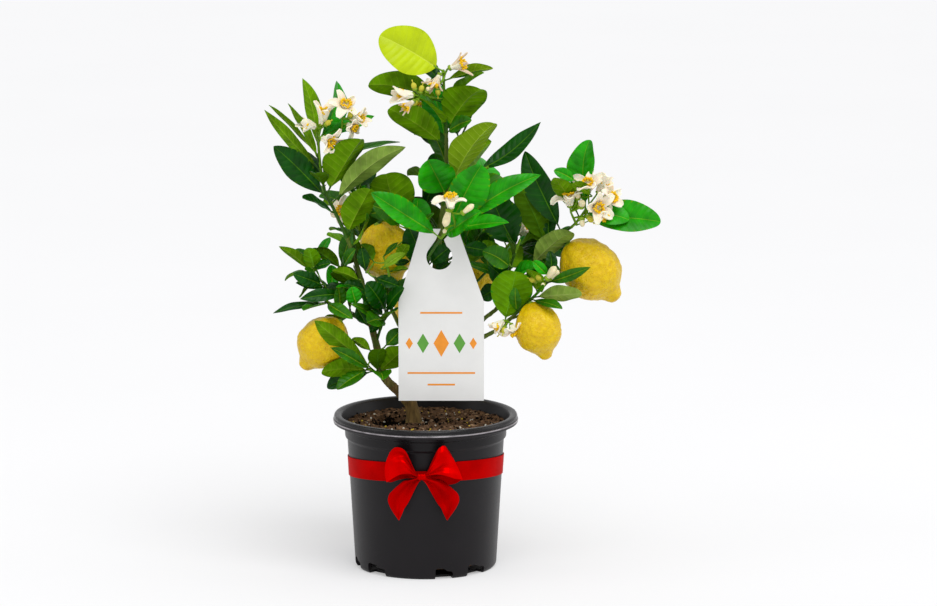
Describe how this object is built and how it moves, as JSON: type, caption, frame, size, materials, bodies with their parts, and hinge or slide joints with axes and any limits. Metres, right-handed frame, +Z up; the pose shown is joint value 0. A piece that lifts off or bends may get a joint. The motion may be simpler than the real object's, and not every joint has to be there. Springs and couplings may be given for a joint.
{
  "type": "potted ponderosa lemon tree",
  "caption": "young lemon tree with fruit and blossom in a black nursery pot, with a red ribbon and bow round the pot and a plain white hang tag on a twig",
  "frame": {"origin": "centre of the flat underside of the pot, which stands on the ground", "axes": "+Z up along the pot's axis; +Y away from the viewer of the tag and the bow; +X to that viewer's right"},
  "size_m": [0.435, 0.2643, 0.6012],
  "materials": {
    "pot": "blow-moulded charcoal black plastic, satin, with faint horizontal drag marks",
    "soil": "moist potting mix of bark crumbs and peat with white perlite",
    "ribbon": "red satin ribbon",
    "tag": "off-white coated card, nearly matt",
    "bark": "green-brown young bark with fine lengthwise streaks",
    "foliage": "waxy green leaves, brighter on young growth, with green twigs, cream blossom and yellow fruit"
  },
  "bodies": {
    "root": {"pot": "pot", "soil": "soil", "tag": "tag", "ribbon_band": "ribbon", "bow_knot": "ribbon", "bow_loop_left": "ribbon", "bow_loop_right": "ribbon", "bow_tail_left": "ribbon", "bow_tail_right": "ribbon", "trunk": "bark", "left_bough": "bark", "leader": "bark", "right_bough": "bark", "upper_right_bough": "bark", "back_bough": "bark", "back_left_bough": "bark", "top_spray": "foliage", "upper_spray": "foliage", "front_spray": "foliage", "upper_left_spray": "foliage", "inner_upper_spray": "foliage", "left_spray": "foliage", "left_upper_spray": "foliage", "lower_left_spray": "foliage", "inner_spray": "foliage", "upper_right_spray": "foliage", "middle_right_spray": "foliage", "lower_right_spray": "foliage", "back_spray": "foliage", "back_left_spray": "foliage", "back_right_spray": "foliage", "back_top_spray": "foliage"}
  },
  "joints": []
}
